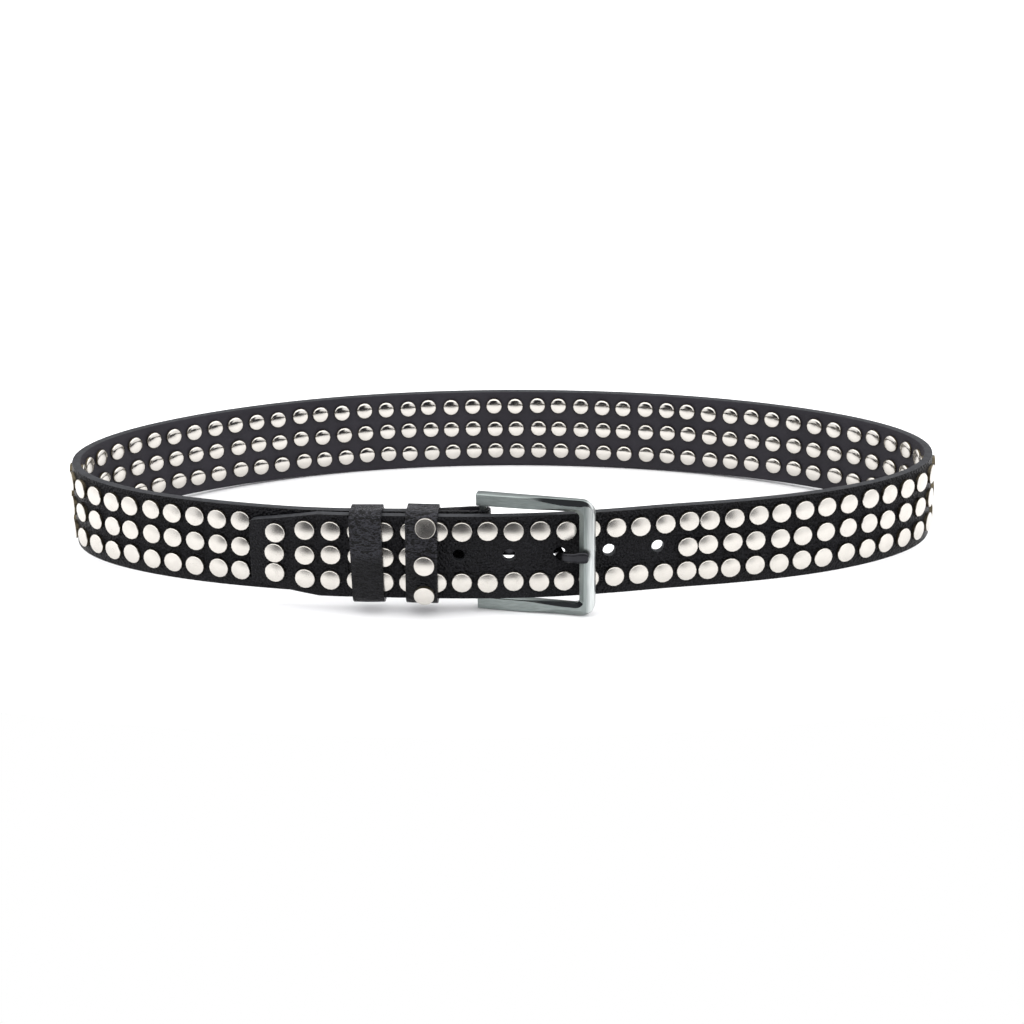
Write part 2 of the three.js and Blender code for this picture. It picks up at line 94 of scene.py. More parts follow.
# Studs
CAP_HEIGHT = 0.002
ROW_PITCH = 0.0124
ROW_RAISE = 0.0005
TIP_ROW_PITCH = 0.010
TIP_EDGE_TO_STUD = 0.012
TIP_FIRST_PITCH = 0.0138
TIP_COLUMN_PITCH = 0.0121
TIP_COLUMNS = 6
HOLE_COLUMN_PITCH = 0.01162
HOLE_COLUMNS = 10
HOLE_ROW_RISE = 0.0008   # top row beside the prong's holes, at the tip's end of it
HOLE_ROW_FALL = -0.0009  # and at its other end
TIP_ZONE_STEP = 0.0122
HOLE_ZONE_STEP = 0.0113
CLOSE_PAIR_PITCH = 0.0097
MAIN_COLUMN_PITCH = 0.0114
PLAIN_REACH = 0.1135

# Prong holes
HOLE_DIAMETER = 0.0058
HOLE_RAISE = 0.0012
HOLE_COUNT = 5
HOLE_PITCH = 0.0229
TIP_TO_FIRST_HOLE = 0.0964
BUCKLED_HOLE = 2

# Buckle
HEEL_BAR = 0.0034
HEEL_BAR_SETBACK = 0.0012
HEEL_BAR_INSET = 0.0026
BUCKLE_LENGTH = 0.0552
BUCKLE_HEIGHT = 0.057
ARM_WIDTH = 0.0058
END_BAR_WIDTH = 0.0072
BUCKLE_THICKNESS = 0.0052
BUCKLE_CORNER = 0.0065
BUCKLE_INNER_CORNER = 0.0025
BUCKLE_TAPER = 0.0012
BUCKLE_RAISE = 0.0003
PRONG_THICKNESS = 0.0025
PRONG_WIDTH = 0.0046
PRONG_TIP_WIDTH = 0.0056
PRONG_REST = 0.0049
PRONG_END = 0.0022   # length of its rounded end
PRONG_RISE = 0.0008  # how far it rises from its hole to its end
PRONG_RING_WALL = 0.0021
HOLE_TO_END_BAR = 0.0108

# Fold of the strap's end round the heel bar
FOLD_LEATHER = 0.0016
FOLD_REACH = 0.036
PRONG_SLOT_HEIGHT = 0.009
PRONG_SLOT_REACH = 0.007

# Keepers
KEEPER_WALL = 0.0018
KEEPER_WIDTH = 0.0148
KEEPER_EASE = 0.0003
KEEPER_FRONT_RADIUS = 0.0052
KEEPER_BACK_RADIUS = 0.0036
PLAIN_KEEPER_REACH = 0.0525
STUDDED_KEEPER_REACH = 0.0281
PLAIN_KEEPER_LEAN = math.radians(1.0)
STUDDED_KEEPER_LEAN = math.radians(-0.8)
RIVET_DIAMETER = 0.0094

# Rivets of the studded keeper. side: towards the buckle, as a share of the keeper's
# width; height: as a share of the strap's width; pitch: how far it looks up
Rivet = namedtuple("Rivet", "name side height pitch")
KEEPER_RIVETS = (
    Rivet("keeper_rivet_top", side=0.15, height=0.905, pitch=math.radians(13)),
    Rivet("keeper_rivet_middle", side=0.09, height=0.45, pitch=0.0),
    Rivet("keeper_rivet_bottom", side=0.09, height=0.11, pitch=math.radians(-12)),
)

# How far the mid-line stands out from the oval. at: along the strap from the heel bar,
# as a share of the oval's half length; out: as a share of the strap's thickness
Sway = namedtuple("Sway", "at out")
SWAY = (
    Sway(at=-3.20, out=0.00),
    Sway(at=-2.75, out=0.30),
    Sway(at=-2.33, out=-0.05),
    Sway(at=-1.95, out=-0.20),
    Sway(at=-1.55, out=-0.30),
    Sway(at=-1.15, out=0.10),
    Sway(at=-0.80, out=0.32),
    Sway(at=-0.60, out=0.10),
    Sway(at=-0.42, out=-0.10),
    Sway(at=-0.30, out=0.25),
    Sway(at=-0.15, out=0.72),
    Sway(at=0.00, out=0.90),
    Sway(at=0.19, out=0.95),
    Sway(at=0.38, out=1.25),
    Sway(at=0.52, out=1.20),
)

# Prong's way from the heel bar to the end bar. along: from the hole, as a share of its
# distance from the heel bar; out: from behind the strap (0) to the end bar's front (1)
Bend = namedtuple("Bend", "along out")
PRONG_BEND = (
    Bend(along=-0.95, out=-0.16),
    Bend(along=-0.70, out=0.08),
    Bend(along=-0.11, out=-0.03),
    Bend(along=-0.035, out=0.00),
    Bend(along=-0.005, out=0.30),
    Bend(along=0.035, out=0.68),
    Bend(along=0.12, out=0.92),
)

END_BAR_INNER = BUCKLE_LENGTH - HEEL_BAR_INSET - END_BAR_WIDTH
TIP_REACH = TIP_TO_FIRST_HOLE + BUCKLED_HOLE * HOLE_PITCH + HOLE_TO_END_BAR - END_BAR_INNER
MERGE_REACH = TIP_REACH + MERGE_LENGTH
LAYER_STEP = STRAP_THICKNESS + CAP_HEIGHT + CLEARANCE
TIP_LAYER_STEP = STRAP_THICKNESS + 2 * CLEARANCE
EYE_RADIUS = HEEL_BAR / 2 + CLEARANCE + FOLD_LEATHER
REST_DISTANCE = 0.478  # along the strap from the heel bar to the place of the rest mount


# The strap's path


def smooth(share):
    t = min(max(share, 0.0), 1.0)
    return t * t * (3 - 2 * t)


def signed_power(value, exponent):
    return math.copysign(abs(value) ** exponent, value)


def oval_point(turn):
    """A point of the oval: 0 is the front, 0.25 the left end, 0.5 the back."""
    angle = turn * math.tau
    front = math.cos(angle) > 0
    depth = OVAL_FRONT if front else OVAL_BACK
    power = OVAL_FRONT_POWER if front else OVAL_BACK_POWER
    return Vector((
        -OVAL_HALF_LENGTH * signed_power(math.sin(angle), 2 / OVAL_LENGTH_POWER),
        -depth * signed_power(math.cos(angle), 2 / power),
    ))


OVAL = [oval_point(i / OVAL_STEPS) for i in range(OVAL_STEPS + 1)]
OVAL_LENGTHS = [0.0]
for before, after in zip(OVAL, OVAL[1:]):
    OVAL_LENGTHS.append(OVAL_LENGTHS[-1] + (after - before).length)
LOOP_LENGTH = OVAL_LENGTHS[-1]
HEEL_LENGTH = OVAL_LENGTHS[next(i for i, point in enumerate(OVAL) if point.x < -HEEL_SHIFT)]
STRAP_END = LOOP_LENGTH + TIP_REACH


def oval_at(distance):
    """The oval's point and outward direction, leftwards along it from the heel bar."""
    wanted = (distance + HEEL_LENGTH) % LOOP_LENGTH
    low = min(bisect_right(OVAL_LENGTHS, wanted) - 1, OVAL_STEPS - 1)
    share = (wanted - OVAL_LENGTHS[low]) / (OVAL_LENGTHS[low + 1] - OVAL_LENGTHS[low])
    tangent = (OVAL[low + 1] - OVAL[low]).normalized()
    return OVAL[low].lerp(OVAL[low + 1], share), Vector((-tangent.y, tangent.x))


def through_rows(rows, at):
    """A smooth curve through the rows of a table, level before and after it."""
    if at <= rows[0].at:
        return rows[0].out
    if at >= rows[-1].at:
        return rows[-1].out
    i = next(k for k, row in enumerate(rows) if row.at > at) - 1

    def slope(k):
        before, after = rows[max(k - 1, 0)], rows[min(k + 1, len(rows) - 1)]
        return (after.out - before.out) / (after.at - before.at)

    span = rows[i + 1].at - rows[i].at
    t = (at - rows[i].at) / span
    start = (2 * t**3 - 3 * t**2 + 1) * rows[i].out
    start_slope = (t**3 - 2 * t**2 + t) * span * slope(i)
    end = (3 * t**2 - 2 * t**3) * rows[i + 1].out
    end_slope = (t**3 - t**2) * span * slope(i + 1)
    return start + start_slope + end + end_slope


def half_at(distance):
    """Half the strap's thickness: it swells into an eye at the fold."""
    return EYE_RADIUS + (HALF_THICKNESS - EYE_RADIUS) * smooth(distance / FOLD_REACH)


def sway_at(distance):
    """Outward shift of the mid-line: the inner layer first, the outer one a turn later."""
    def outer(along):
        return STRAP_THICKNESS * through_rows(SWAY, along / OVAL_HALF_LENGTH)

    if distance > MERGE_REACH:
        return outer(distance - LOOP_LENGTH)
    step = LAYER_STEP + (TIP_LAYER_STEP - LAYER_STEP) * smooth(distance / TIP_REACH)
    inset = step - outer(min(distance, TIP_REACH)) + half_at(distance) - HALF_THICKNESS
    return -inset * (1 - smooth((distance - TIP_REACH) / MERGE_LENGTH))


def strap_point(distance, out=0.0):
    """A point in plan, at a distance along the strap and out of its mid-line."""
    point, outward = oval_at(distance)
    return point + outward * (sway_at(distance) + out)


def strap_facing(distance, step=0.001):
    """The direction in plan that the strap's outer face looks."""
    along = (strap_point(distance + step) - strap_point(distance - step)).normalized()
    return Vector((-along.y, along.x))


HEEL_POINT = strap_point(0.0)


def belt_to_world():
    """The belt's own frame, square to its strap, to the row frame, from its rest mount."""
    mount = next(m for m in frame["record"]["mounts"] if m["name"] == "standing_edge")
    _, back, down = mount["axis"]
    turn = Matrix.Rotation(-math.atan2(-back, -down), 4, "X")
    foot = strap_point(REST_DISTANCE).to_3d()
    return Matrix.Translation(Vector(mount["pos_m"]) - turn @ foot) @ turn


BELT = belt_to_world()


def level(plan, height=0.0):
    return Vector((plan.x, plan.y, height))


# Studs and holes


# at: along the strap; rise: how far the top row stands above an even spacing
Column = namedtuple("Column", "at rows pitch rise", defaults=[0.0])


def stud_columns():
    """The columns of studs, from the tip back to the inner layer."""
    columns = []
    at = STRAP_END - TIP_EDGE_TO_STUD
    for i in range(TIP_COLUMNS):
        columns.append(Column(at, 3, TIP_ROW_PITCH if i == 0 else ROW_PITCH))
        at -= TIP_FIRST_PITCH if i == 0 else TIP_COLUMN_PITCH
    at += TIP_COLUMN_PITCH - TIP_ZONE_STEP
    for i in range(HOLE_COLUMNS):
        rise = HOLE_ROW_RISE + (HOLE_ROW_FALL - HOLE_ROW_RISE) * i / (HOLE_COLUMNS - 1)
        columns.append(Column(at, 2, 2 * ROW_PITCH, rise))
        at -= HOLE_COLUMN_PITCH
    at += HOLE_COLUMN_PITCH - HOLE_ZONE_STEP
    columns.append(Column(at, 3, ROW_PITCH))
    at -= CLOSE_PAIR_PITCH
    intervals = round((at - PLAIN_REACH) / MAIN_COLUMN_PITCH)
    pitch = (at - PLAIN_REACH) / intervals
    columns += [Column(at - i * pitch, 3, ROW_PITCH) for i in range(intervals + 1)]
    return columns


def prong_holes():
    """Distances of the prong's holes along the strap, from the tip back."""
    return [STRAP_END - TIP_TO_FIRST_HOLE - i * HOLE_PITCH for i in range(HOLE_COUNT)]


# Sizes and colours that a user would change


def length(name, description, default):
    return FloatProperty(
        name=name, description=description, default=default, unit="LENGTH", precision=5)


def colour(name, description, default):
    return FloatVectorProperty(
        name=name, description=description, default=default, subtype="COLOR", min=0, max=1)


class BeltSizes(bpy.types.PropertyGroup):
    stud_diameter: length("Stud diameter", "Width of a stud's cap", 0.0094)
    inner_diameter: length("Inner diameter", "Width of a cap on the inner face", 0.0084)
    stud_rim: length("Stud rim", "Width of the bevel round a stud's cap", 0.00022)
    stud_dome: length("Stud dome", "How far a cap's middle stands above its rim", 0.00045)
    stud_wander: length("Stud wander", "How far a hand-set stud may be off its place", 0.0004)
    stud_tilt: FloatProperty(
        name="Stud tilt", description="How far a hand-set stud may lean",
        default=math.radians(1.6), subtype="ANGLE")
    row_skew: length("Row skew", "How far a column's foot lies ahead of its head", 0.0009)
    strap_cell: length("Strap cell", "Longest side of a cell of the strap's mesh", 0.0024)
    edge_round: length("Edge round", "Rounding of the strap's cut edges", 0.0005)
    keeper_round: length("Keeper round", "Rounding of the keepers' cut edges", 0.0004)
    keeper_crown: length("Keeper crown", "How far a keeper bulges at its middle", 0.0003)
    facet_width: length("Facet width", "Widest facet round the buckle's front face", 0.0032)
    facet_depth: length("Facet depth", "How far the facets fall back", 0.0014)
    buckle_edge: length("Buckle edge", "Rounding of the buckle's edges", 0.0002)
    prong_round: length("Prong round", "Rounding along the prong", 0.0011)


class BeltColours(bpy.types.PropertyGroup):
    leather: colour("Leather", "Outer face of the strap", (0.0022, 0.0022, 0.0027))
    lining: colour("Lining", "Inner face of the strap", (0.015, 0.0135, 0.018))
    cut_edge: colour("Cut edge", "Painted edges of the strap", (0.030, 0.031, 0.035))
    keeper: colour("Keeper", "Leather of the keepers", (0.0022, 0.0022, 0.0027))
    nickel: colour("Nickel", "Studs and rivets", (0.57, 0.545, 0.505))
    # dark, warm colour: painted shade and reflection of the black leather on the studs' walls
    stud_wall: colour("Stud wall", "Upright walls of the studs", (0.13, 0.11, 0.075))
    buckle: colour("Buckle", "Brushed arms of the buckle", (0.29, 0.325, 0.315))
    # much lighter than the arms of the same metal: painted highlight on the end bar's brushed face
    end_bar_highlight: colour("End bar", "Brushed end bar of the buckle", (0.70, 0.73, 0.72))
    # near black: painted reflection of the dark strap in the polished facets
    facet: colour("Facet", "Polished facets round the buckle's face", (0.011, 0.012, 0.013))
    prong: colour("Prong", "Black nickel prong", (0.03, 0.03, 0.033))
    floor: colour("Floor", "Floor of the stage", (0.96, 0.96, 0.97))


def settings(context):
    return context.scene.belt_sizes, context.scene.belt_colours


# Shaders


class Socket:
    """A shader output that takes part in Python expressions on numbers."""

    def __init__(self, paint, output):
        self.paint = paint
        self.output = output

    def maths(self, operation, first, second):
        return self.paint.node("Math", {"operation": operation}, {0: first, 1: second})

    def __add__(self, other):
        return self.maths("ADD", self, other)

    def __sub__(self, other):
        return self.maths("SUBTRACT", self, other)

    def __mul__(self, other):
        return self.maths("MULTIPLY", self, other)

    def __rsub__(self, other):
        return self.maths("SUBTRACT", other, self)

    __radd__ = __add__
    __rmul__ = __mul__

    def between(self, low, high):
        """0 up to low and 1 from high on, with a soft step between them."""
        settings = {"interpolation_type": "SMOOTHSTEP"}
        inputs = {"Value": self, "From Min": low, "From Max": high}
        return self.paint.node("MapRange", settings, inputs)


class Paint:
    """One material's nodes, or the world's."""

    def __init__(self, owner):
        owner.use_nodes = True
        self.tree = owner.node_tree
        self.tree.nodes.clear()

    def node(self, kind, settings=None, inputs=None, output=0):
        """Adds a node and gives its output, or the node itself where output is None."""
        made = self.tree.nodes.new("ShaderNode" + kind)
        for name, value in (settings or {}).items():
            setattr(made, name, value)
        for name, value in (inputs or {}).items():
            if isinstance(value, Socket):
                self.tree.links.new(value.output, made.inputs[name])
            else:
                made.inputs[name].default_value = value
        return made if output is None else Socket(self, made.outputs[output])

    def place(self, scale=(1, 1, 1), turn=(0, 0, 0)):
        """Object coordinates, stretched or turned."""
        coordinates = self.node("TexCoord", output="Object")
        return self.node("Mapping", {}, {"Vector": coordinates, "Rotation": turn, "Scale": scale})

    def noise(self, scale, detail=2.0, vector=None, roughness=0.5):
        inputs = {
            "Vector": vector or self.place(), "Scale": scale, "Detail": detail,
            "Roughness": roughness,
        }
        return self.node("TexNoise", {}, inputs)

    def cells(self, scale, vector=None, feature="F1"):
        inputs = {"Vector": vector or self.place(), "Scale": scale}
        return self.node("TexVoronoi", {"feature": feature}, inputs)

    def bump(self, height, distance, strength=1.0, normal=None):
        inputs = {"Height": height, "Distance": distance, "Strength": strength}
        if normal:
            inputs["Normal"] = normal
        return self.node("Bump", {}, inputs)

    def blend(self, factor, first, second):
        """A colour between two colours."""
        mix = self.node("Mix", {"data_type": "RGBA"}, output=None)
        self.tree.links.new(factor.output, mix.inputs[0])
        for socket, value in ((mix.inputs[6], first), (mix.inputs[7], second)):
            if isinstance(value, Socket):
                self.tree.links.new(value.output, socket)
            else:
                socket.default_value = (*value, 1.0)
        return Socket(self, mix.outputs[2])

    def surface(self, **sockets):
        """The Principled surface and the output. Socket names have _ for a space."""
        inputs = {name.replace("_", " "): value for name, value in sockets.items()}
        shader = self.node("BsdfPrincipled", {}, inputs)
        self.node("OutputMaterial", {}, {"Surface": shader}, output=None)


def material(name):
    made = bpy.data.materials.new(name)
    return made, Paint(made)


def opaque(shade):
    return (*shade, 1.0)


def times(shade, factor):
    """A colour made lighter or darker."""
    return [part * factor for part in shade]


def strap_leather(colours):
    """Satin black leather with a fine pebble grain; its mottled tone is partly real and partly
    painted glints of the glossy grain.
    """
    made, paint = material("strap leather")
    grain = paint.cells(820)
    fine = paint.noise(2300, detail=2)
    wide = paint.noise(38, detail=3)
    speckle_and_painted_glints = paint.noise(1100, detail=3, roughness=0.7) * 0.8 + wide * 0.2
    # dark and light mottling: partly the leather's own tone, partly painted glints on the grain
    dark, light = times(colours.leather, 0.4), times(colours.leather, 5)
    shade = paint.blend(speckle_and_painted_glints.between(0.36, 0.66), dark, light)
    pebble = paint.bump(grain, distance=0.0010, strength=1.0)
    paint.surface(
        Base_Color=shade,
        Roughness=0.28 + fine * 0.14 + wide * 0.08,
        Specular_IOR_Level=0.11,
        Normal=paint.bump(fine, distance=0.00016, strength=0.8, normal=pebble),
    )
    return made


def strap_lining(colours):
    """Smooth dark split leather."""
    made, paint = material("strap lining")
    fine = paint.noise(1800, detail=3)
    wide = paint.noise(30, detail=2)
    shade = paint.blend(wide.between(0.3, 0.7), colours.lining, times(colours.lining, 1.35))
    paint.surface(
        Base_Color=shade,
        Roughness=0.55 + fine * 0.12,
        Specular_IOR_Level=0.25,
        Normal=paint.bump(fine, distance=0.00006, strength=0.35),
    )
    return made


def cut_edge(colours):
    """Painted cut edge of the strap, slightly rough."""
    made, paint = material("painted edge")
    along = paint.noise(420, detail=3)
    shade = paint.blend(along.between(0.35, 0.7), colours.cut_edge, times(colours.cut_edge, 0.6))
    paint.surface(
        Base_Color=shade,
        Roughness=0.6,
        Specular_IOR_Level=0.2,
        Normal=paint.bump(along, distance=0.00015, strength=0.5),
    )
    return made


def keeper_leather(colours):
    """Glossy black leather with fine creases, and highlights painted along the creases, strongest
    towards the top bend.
    """
    made, paint = material("keeper leather")
    warp = paint.noise(160, detail=2)
    creases = paint.noise(520, detail=3, vector=paint.place(scale=(0.5, 1.0, 1.3)), roughness=0.65)
    cracks = paint.cells(430, vector=paint.place(scale=(0.8, 1.0, 1.2)), feature="DISTANCE_TO_EDGE")
    pebble = paint.bump(cracks.between(0.0, 0.16), distance=0.0005, strength=0.9)
    up = paint.node("SeparateXYZ", {}, {"Vector": paint.place()}, output=2)
    # painted highlights: bright lines along the creases, stronger towards the top where the light
    # falls
    painted_crease_highlights = creases.between(0.43, 0.5) * (1 - creases.between(0.52, 0.6))
    shown = painted_crease_highlights * (0.22 + 0.78 * up.between(0.025, 0.034))
    paint.surface(
        # base colour lightened where the crease highlights are painted
        Base_Color=paint.blend(shown, colours.keeper, times(colours.keeper, 14)),
        Roughness=0.14 + warp * 0.12,
        Specular_IOR_Level=0.14,
        Normal=paint.bump(creases, distance=0.0016, strength=1.0, normal=pebble),
    )
    return made


def stud_nickel(colours, name, roughness):
    """Satin polished nickel with faint wear."""
    made, paint = material(name)
    haze = paint.noise(260, detail=3)
    scuff = paint.noise(1.0, detail=2, vector=paint.place(scale=(900, 900, 2600), turn=(0, 0.6, 0)))
    shade = paint.blend(haze.between(0.3, 0.75), colours.nickel, times(colours.nickel, 0.93))
    paint.surface(
        Base_Color=shade,
        Metallic=1.0,
        Roughness=roughness + haze * 0.08,
        Normal=paint.bump(scuff, distance=0.00002, strength=0.25),
    )
    return made


def stud_wall(colours):
    """The studs' upright wall: dull nickel, darkened as painted shade for the shadow and the black
    leather it reflects.
    """
    made, paint = material("stud wall")
    haze = paint.noise(500, detail=2)
    shade = paint.blend(haze.between(0.3, 0.75), colours.stud_wall, times(colours.stud_wall, 0.5))
    paint.surface(Base_Color=shade, Metallic=1.0, Roughness=0.38 + haze * 0.1)
    return made


def buckle_metal(colours):
    """Brushed gunmetal, with its brush marks along each side of the frame; the end bar's face is
    painted lighter, a painted highlight.
    """
    made, paint = material("buckle metal")
    x = paint.node("SeparateXYZ", {}, {"Vector": paint.place()})
    on_bar = x.between(0.0345, 0.0362)
    # mask of the end bar's face, where a painted highlight lightens the metal
    painted_bar_highlight = x.between(0.0376, 0.0402)
    along_arms = paint.noise(1.0, detail=4, vector=paint.place(scale=(90, 900, 3200)))
    along_bar = paint.noise(1.0, detail=4, vector=paint.place(scale=(3200, 900, 90)))
    brush = along_arms + (along_bar - along_arms) * on_bar
    haze = paint.noise(120, detail=2)
    metal = paint.blend(painted_bar_highlight, colours.buckle, colours.end_bar_highlight)
    # darker brush streaks, with the painted end bar highlight in them too
    dark_streaks_and_bar_highlight = paint.blend(painted_bar_highlight, times(colours.buckle, 0.72), times(colours.end_bar_highlight, 0.72))
    paint.surface(
        Base_Color=paint.blend(brush.between(0.3, 0.75), dark_streaks_and_bar_highlight, metal),
        Metallic=1.0,
        Roughness=0.28 + brush * 0.12 + haze * 0.06,
        Normal=paint.bump(brush, distance=0.00004, strength=0.4),
    )
    return made


def polish(paint, shade, roughness):
    """A smooth metal surface with a faint haze."""
    haze = paint.noise(300, detail=2)
    paint.surface(
        Base_Color=shade,
        Metallic=1.0,
        Roughness=roughness + haze * 0.1,
        Normal=paint.bump(haze, distance=0.00002, strength=0.2),
    )


def facet_metal(colours):
    """Polished facets, painted dark as a reflection of the strap, and painted lighter towards the
    free ends of the arms and at the end bar.
    """
    made, paint = material("facet metal")
    x = paint.node("SeparateXYZ", {}, {"Vector": paint.place()})
    # painted reflection: lighter near the arms' free ends, dark further along, light again at the end
    # bar
    shade = paint.blend(x.between(0.004, 0.019), times(colours.buckle, 0.8), colours.facet)
    polish(paint, paint.blend(x.between(0.0385, 0.042), shade, times(colours.end_bar_highlight, 0.6)), 0.2)
    return made


def prong_metal(colours):
    """Polished black nickel."""
    made, paint = material("prong metal")
    polish(paint, opaque(colours.prong), 0.18)
    return made


# Mesh helpers


def to_mesh(name, bm):
    """A mesh with what the bmesh holds. The bmesh is freed."""
    mesh = bpy.data.meshes.new(name)
    bm.to_mesh(mesh)
    bm.free()
    return mesh


def filled(marks, cell):
    """The marks in order, with even steps no longer than a cell between them."""
    places = [marks[0]]
    for start, end in zip(marks, marks[1:]):
        steps = max(math.ceil((end - start) / cell - 0.001), 1)
        places += [start + (end - start) * i / steps for i in range(1, steps + 1)]
    return places


def sheet(columns, rows):
    """A flat grid with its columns along X and its rows along Y at these places."""
    bm = bmesh.new()
    across, up = len(columns) - 1, len(rows) - 1
    bmesh.ops.create_grid(bm, x_segments=across, y_segments=up, size=0.5)
    for vert in bm.verts:
        column = round((vert.co.x + 0.5) * across)
        row = round((vert.co.y + 0.5) * up)
        vert.co = (columns[column], rows[row], 0)
    return bm


def thicken(bm, thickness):
    """Gives a flat sheet its thickness, half to each side, and closes its rims."""
    made = bmesh.ops.extrude_face_region(bm, geom=bm.faces[:])
    lifted = [item for item in made["geom"] if isinstance(item, bmesh.types.BMVert)]
    bmesh.ops.translate(bm, verts=lifted, vec=(0, 0, thickness))
    bmesh.ops.translate(bm, verts=bm.verts, vec=(0, 0, -thickness / 2))
    bmesh.ops.recalc_face_normals(bm, faces=bm.faces)


def sharp_edges(bm, least=math.radians(60)):
    return [edge for edge in bm.edges if edge.is_manifold and edge.calc_face_angle() > least]


def round_off(bm, edges, offset, segments=2):
    bmesh.ops.bevel(
        bm, geom=edges, offset=offset, offset_type="OFFSET", segments=segments,
        profile=0.5, affect="EDGES", clamp_overlap=False, material=-1)


def spin_round(bm, geom, steps):
    """A full turn of the geometry about Z, with its seam and poles closed."""
    bmesh.ops.spin(
        bm, geom=geom, cent=(0, 0, 0), axis=(0, 0, 1), dvec=(0, 0, 0),
        angle=math.tau, steps=steps, use_merge=True, use_duplicate=False)
    bmesh.ops.remove_doubles(bm, verts=bm.verts, dist=0.00001)


def carry(bm, place):
    """Moves every point to its place and turns the faces outwards."""
    for vert in bm.verts:
        vert.co = place(vert.co)
    bmesh.ops.recalc_face_normals(bm, faces=bm.faces)


def add_piece(name, bm, materials, replaces=(), sharp=math.radians(35)):
    mesh = to_mesh(name, bm)
    for finish in materials:
        mesh.materials.append(finish)
    mesh.shade_smooth()
    mesh.set_sharp_from_angle(angle=sharp)
    piece = bpy.data.objects.new(name, mesh)
    bpy.context.scene.collection.objects.link(piece)
    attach(piece, "root")
    if replaces:
        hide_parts(*replaces)
    return piece


# Strap


def tip_half(distance):
    """Half the strap's height: the end of the tip is clipped, with round corners."""
    back = STRAP_END - distance
    if back >= TIP_CLIP_LENGTH:
        return STRAP_MIDDLE
    clipped = STRAP_MIDDLE - TIP_CLIP_DEPTH
    if back >= TIP_CORNER:
        share = (back - TIP_CORNER) / (TIP_CLIP_LENGTH - TIP_CORNER)
        return clipped + TIP_CLIP_DEPTH * share
    rise = math.sqrt(max(TIP_CORNER**2 - (TIP_CORNER - back) ** 2, 0.0))
    return clipped - TIP_CORNER + rise


def cut_hole(bm, at, height, diameter, cells=4):
    """Opens a round hole in a flat sheet, in place of a square of cells round its middle."""
    reach = diameter / 2
    inside = [
        face for face in bm.faces
        if abs(face.calc_center_median().x - at) < reach
        and abs(face.calc_center_median().y - height) < reach
    ]
    assert len(inside) == cells**2, f"a hole has {len(inside)} cells"
    rim = {vert for face in inside for vert in face.verts}
    bmesh.ops.delete(bm, geom=inside, context="FACES")
    for vert in [vert for vert in rim if vert.is_valid]:
        x, y = vert.co.x - at, vert.co.y - height
        if abs(x) >= abs(y):
            angle = math.pi / 4 * y / abs(x)
            angle = angle if x > 0 else math.pi - angle
        else:
            angle = math.pi / 2 - math.pi / 4 * x / abs(y)
            angle = angle if y > 0 else -angle
        vert.co.x = at + reach * math.cos(angle)
        vert.co.y = height + reach * math.sin(angle)


def layer_place(flat):
    """From the flat strap (along, up, out) to the loop."""
    along, up, out = flat
    share = tip_half(along) / STRAP_MIDDLE
    height = STRAP_MIDDLE + (up - STRAP_MIDDLE) * share
    plan = strap_point(along) + strap_facing(along) * out * half_at(along) / HALF_THICKNESS
    return BELT @ level(plan, height)


def mark_faces(bm):
    """Outer face, lining and cut edges take the first, second and third material."""
    for face in bm.faces:
        face.material_index = 0 if face.normal.z > 0.9 else 1 if face.normal.z < -0.9 else 2


def strap_layer(sizes, start):
    """The strap from a place under the studded keeper to the tip."""
    reach = HOLE_DIAMETER / 2
    height = STRAP_MIDDLE + HOLE_RAISE
    holes = sorted(prong_holes())
    steps = (-reach, -reach / 2, 0.0, reach / 2, reach)
    corner = [STRAP_END - TIP_CORNER * share for share in (1.0, 0.5, 0.22, 0.0)]
    marks = [start, *(hole + step for hole in holes for step in steps),
             STRAP_END - TIP_CLIP_LENGTH, *corner]
    rows = filled([0.0, *(height + step for step in steps), STRAP_WIDTH], sizes.strap_cell)
    bm = sheet(filled(marks, sizes.strap_cell), rows)
    for hole in holes:
        cut_hole(bm, hole, height, HOLE_DIAMETER)
    thicken(bm, STRAP_THICKNESS)
    round_off(bm, sharp_edges(bm), sizes.edge_round)
    mark_faces(bm)
    carry(bm, layer_place)
    return bm


def fold_place(flat):
    """From the flat fold (along, up, out) round the heel bar. Along 0 is the bar's far side."""
    along, up, out = flat
    depth = FOLD_LEATHER / 2 - out
    quarter = math.pi / 2 * EYE_RADIUS
    if abs(along) < quarter:
        angle = along / EYE_RADIUS
        facing = strap_facing(0.0)
        side = Vector((-facing.y, facing.x))
        plan = HEEL_POINT + (side * math.cos(angle) + facing * math.sin(angle)) * (EYE_RADIUS - depth)
    else:
        distance = abs(along) - quarter
        filled_up = half_at(distance) / FOLD_LEATHER - 0.01
        depth *= 1 + (filled_up - 1) * smooth((distance - PRONG_SLOT_REACH) / 0.006)
        offset = math.copysign(half_at(distance) - depth, along)
        plan = strap_point(distance) + strap_facing(distance) * offset
    return BELT @ level(plan, up)


def strap_fold(sizes, end):
    """The skived end of the strap, from one side of the strap round the bar to the other."""
    quarter = math.pi / 2 * EYE_RADIUS
    slot = quarter + PRONG_SLOT_REACH
    height = STRAP_MIDDLE + HOLE_RAISE
    low, high = height - PRONG_SLOT_HEIGHT / 2, height + PRONG_SLOT_HEIGHT / 2
    columns = filled([-quarter - end, -slot, -quarter, quarter, slot, quarter + end], 0.0009)
    bm = sheet(columns, filled([0.0, low, high, STRAP_WIDTH], sizes.strap_cell))
    inside = [
        face for face in bm.faces
        if abs(face.calc_center_median().x) < slot and low < face.calc_center_median().y < high
    ]
    bmesh.ops.delete(bm, geom=inside, context="FACES")
    thicken(bm, FOLD_LEATHER)
    round_off(bm, sharp_edges(bm), 0.0003, segments=1)
    for face in bm.faces:
        face.material_index = 1 if face.normal.z < -0.9 else 0
    carry(bm, fold_place)
    return bm


